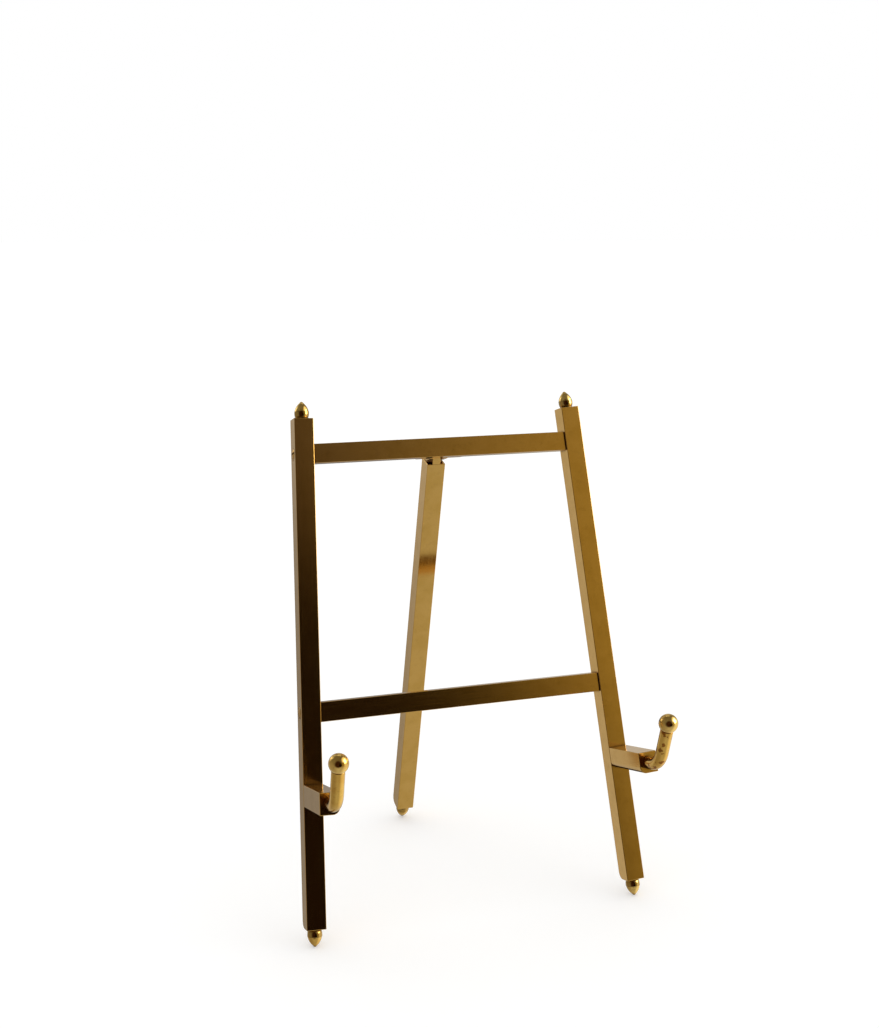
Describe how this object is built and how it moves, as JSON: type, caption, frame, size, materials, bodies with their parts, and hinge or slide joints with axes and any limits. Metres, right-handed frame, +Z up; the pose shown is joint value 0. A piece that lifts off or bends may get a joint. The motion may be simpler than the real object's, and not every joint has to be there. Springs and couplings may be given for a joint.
{
  "type": "plate display stand",
  "caption": "Folding brass easel that displays a plate: leaning square posts with ball-ended hooks, rails, a hinged rear leg and turned acorn ends.",
  "frame": {"origin": "under the middle of the stand's bounding box, on the surface that the three acorn feet stand on", "axes": "+Z up; -Y to the front, where the hooks point; +X to the right as seen from the front"},
  "size_m": [0.1482, 0.149, 0.2126],
  "materials": {
    "bar_brass": "polished square bar, lightly darkened by age",
    "hook_brass": "polished, with faint tool marks",
    "turned_brass": "turned and polished bright",
    "screw_brass": "dull, darker in the slots"
  },
  "bodies": {
    "front_frame": {"left_post": "bar_brass", "left_foot_acorn": "turned_brass", "left_top_acorn": "turned_brass", "lower_rail_screw_left": "screw_brass", "upper_rail_screw_left": "screw_brass", "left_arm": "bar_brass", "left_arm_screw": "screw_brass", "left_hook_peg": "hook_brass", "left_hook_ball": "turned_brass", "right_post": "bar_brass", "right_foot_acorn": "turned_brass", "right_top_acorn": "turned_brass", "lower_rail_screw_right": "screw_brass", "upper_rail_screw_right": "screw_brass", "right_arm": "bar_brass", "right_arm_screw": "screw_brass", "right_hook_peg": "hook_brass", "right_hook_ball": "turned_brass", "lower_rail": "bar_brass", "upper_rail": "bar_brass", "hinge_bracket": "hook_brass", "bracket_screw_left": "screw_brass", "bracket_screw_right": "screw_brass", "hinge_pin": "screw_brass", "hinge_cap_nut": "screw_brass"},
    "rear_leg": {"rear_leg": "bar_brass", "rear_foot_acorn": "turned_brass"}
  },
  "joints": [
    {"name": "rear_leg_fold", "type": "hinge", "parent": "front_frame", "child": "rear_leg", "pos_m": [0, 0.02118, 0.18855], "axis": [-1, 0, 0], "range_deg": [0, 30.5]}
  ]
}
